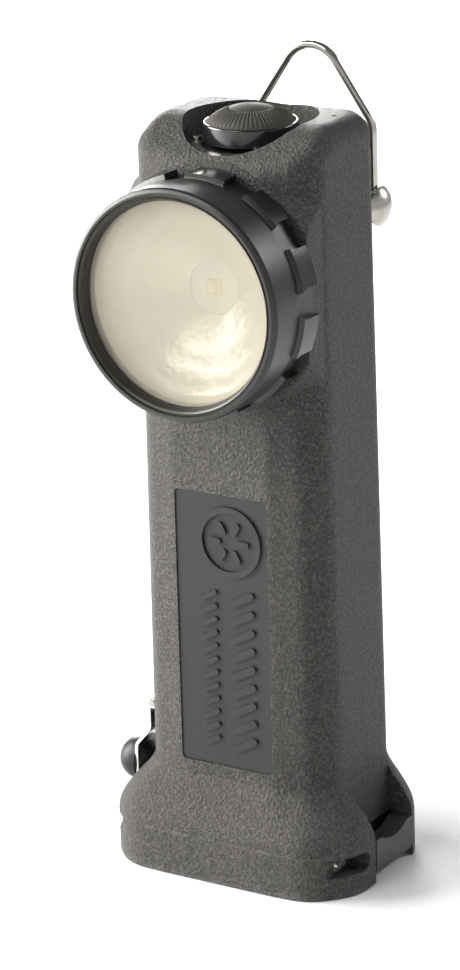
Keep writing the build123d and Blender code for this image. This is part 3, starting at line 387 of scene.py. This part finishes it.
give(
    smooth_plastic("button_gloss", (0.008, 0.008, 0.008), (0.014, 0.014, 0.013), 0.16, 0.000004, coat=0.5),
    "switch_button",
)
give(
    smooth_plastic("lever_satin", (0.030, 0.029, 0.028), (0.050, 0.048, 0.046), 0.42, 0.00003),
    "release_lever",
)
give(
    grained("pack_grain", (0.020, 0.020, 0.020), (0.050, 0.049, 0.048), 2400.0, 0.00006, 0.50),
    "pack_foot",
    "pack_case_front",
    "pack_case_rear",
    "pack_cap",
)
give(
    smooth_plastic("cell_sleeve", (0.060, 0.190, 0.090), (0.080, 0.240, 0.115), 0.30, 0.00001, coat=0.4),
    "battery_cells",
)
give(
    smooth_plastic("lead_insulation", (0.34, 0.020, 0.016), (0.46, 0.034, 0.026), 0.40, 0.00001),
    "lead_supply",
    "lead_lamp",
)

# ---- Moulded detail ----


def add_object(name, mesh, finish):
    """Makes a smooth-shaded object of a finished bmesh and puts it in the scene."""
    data = bpy.data.meshes.new(name)
    mesh.to_mesh(data)
    mesh.free()
    made = bpy.data.objects.new(name, data)
    bpy.context.scene.collection.objects.link(made)
    data.materials.append(finish.material)
    for polygon in data.polygons:
        polygon.use_smooth = True
    return made


pad_low, pad_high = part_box("button_pad")
pad_middle = (pad_low + pad_high) / 2
pad_radius = (pad_high.x - pad_low.x) / 2
pad_rim_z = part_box("switch_button")[1].z
pad_rise = pad_high.z - pad_rim_z
pad_sphere = (pad_radius ** 2 + pad_rise ** 2) / (2 * pad_rise)


def pad_height(radius):
    """The pad's domed top at a distance from its middle."""
    return pad_high.z - pad_sphere + math.sqrt(pad_sphere ** 2 - radius ** 2)


def add_rib(mesh, angle):
    """One tapering rib lying on the pad's dome, with its foot sunk a little into it."""
    out = Vector((math.cos(angle), math.sin(angle), 0))
    side = Vector((-math.sin(angle), math.cos(angle), 0))
    inner = pad_radius * rib_inner_share
    outer = pad_radius * rib_outer_share
    rows = []
    for step in range(rib_steps + 1):
        share = step / rib_steps
        radius = inner + (outer - inner) * share
        swell = math.sin(math.pi * min(max(share, 0.06), 0.94)) ** 0.5
        foot = pad_height(radius) - rib_sunk
        middle = Vector((pad_middle.x, pad_middle.y, 0)) + out * radius
        row = []
        for across, up in rib_section:
            spot = middle + side * (across * rib_half_width * (0.55 + 0.45 * share))
            row.append(mesh.verts.new((spot.x, spot.y, foot + (rib_sunk + rib_rise * swell) * up)))
        rows.append(row)
    for first, second in zip(rows, rows[1:]):
        for index in range(len(rib_section) - 1):
            mesh.faces.new((first[index], first[index + 1], second[index + 1], second[index]))
    mesh.faces.new(rows[0][::-1])
    mesh.faces.new(rows[-1])


ribs = bmesh.new()
for index in range(rib_count):
    add_rib(ribs, 2 * math.pi * index / rib_count)
bmesh.ops.recalc_face_normals(ribs, faces=ribs.faces)
# The ribs are the pad's own rubber, coloured lighter than the pad as a painted highlight where they catch
# the light
rib_rubber_painted_highlight = soft_rubber("rib_rubber_painted_highlight", (0.044, 0.042, 0.034), (0.070, 0.067, 0.056), 0.58)
button_ribs = add_object("button_ribs", ribs, rib_rubber_painted_highlight)
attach(button_ribs, "button")

# ---- Floor ----


def floor_mesh():
    """A round floor that curves up into a low wall, all round and far from the light."""
    profile = [(floor_centre_radius, 0.0), (floor_radius, 0.0)]
    for step in range(1, floor_curve_steps + 1):
        turn = math.radians(90 * step / floor_curve_steps)
        out = floor_radius + floor_curve_radius * math.sin(turn)
        profile.append((out, floor_curve_radius * (1 - math.cos(turn))))
    profile.append((floor_radius + floor_curve_radius, floor_wall_top))
    turns = [2 * math.pi * index / floor_sides for index in range(floor_sides)]
    mesh = bmesh.new()
    centre = mesh.verts.new((0, 0, -floor_drop))
    hoops = []
    for radius, z in profile:
        spots = [(radius * math.cos(turn), radius * math.sin(turn), z - floor_drop) for turn in turns]
        hoops.append([mesh.verts.new(spot) for spot in spots])
    for index in range(floor_sides):
        following = (index + 1) % floor_sides
        mesh.faces.new((centre, hoops[0][index], hoops[0][following]))
        for inner, outer in zip(hoops, hoops[1:]):
            mesh.faces.new((inner[index], outer[index], outer[following], inner[following]))
    return mesh


paper = Finish("stage_paper", 0.8)
paper.colour(paper.blend(paper.noise(6.0), (0.86, 0.86, 0.86), (0.90, 0.90, 0.90)))
add_object("stage_sheet", floor_mesh(), paper)

# ---- Light ----


def softbox(name, place, size, power, tint=(1.0, 1.0, 1.0)):
    """A rectangular area light that faces the target."""
    data = bpy.data.lights.new(name, "AREA")
    data.shape = "RECTANGLE"
    data.size, data.size_y = size
    data.energy = power
    data.color = tint
    made = bpy.data.objects.new(name, data)
    made.location = place
    made.rotation_euler = (target - Vector(place)).to_track_quat("-Z", "Y").to_euler()
    bpy.context.scene.collection.objects.link(made)


softbox("key_left", (-1.15, -0.42, 0.55), (0.9, 1.1), 48.0, (1.0, 0.98, 0.955))
softbox("back_left", (-0.70, 0.95, 0.34), (0.5, 0.34), 12.0, (1.0, 0.99, 0.975))
softbox("front_high", (-0.45, -1.10, 1.25), (0.9, 0.6), 11.0, (1.0, 0.99, 0.98))
softbox("right_edge", (0.70, 0.85, 0.66), (0.4, 0.4), 4.0)

world = bpy.data.worlds.new("studio")
world.use_nodes = True
background = world.node_tree.nodes["Background"]
background.inputs["Color"].default_value = (0.94, 0.95, 0.96, 1)
background.inputs["Strength"].default_value = 0.16
bpy.context.scene.world = world
bpy.context.scene.view_settings.view_transform = "Standard"

# ---- Camera: from the right of the front and above, leaning a little ----

azimuth, elevation, roll = (math.radians(angle) for angle in camera_angles)
right = Vector((math.cos(azimuth), math.sin(azimuth), 0))
out_x = math.sin(azimuth) * math.cos(elevation)
out_y = -math.cos(azimuth) * math.cos(elevation)
back = Vector((out_x, out_y, math.sin(elevation)))
up = back.cross(right)
tilted_right = right * math.cos(roll) + up * math.sin(roll)
tilted_up = up * math.cos(roll) - right * math.sin(roll)
camera_data = bpy.data.cameras.new("camera")
camera_data.sensor_width = camera_sensor
camera_data.lens = camera_lens
camera_data.shift_x, camera_data.shift_y = camera_shift
camera = bpy.data.objects.new("camera", camera_data)
facing = Matrix((tilted_right, tilted_up, back)).transposed().to_4x4()
camera.matrix_world = Matrix.Translation(target + back * camera_distance) @ facing
bpy.context.scene.collection.objects.link(camera)
bpy.context.scene.camera = camera
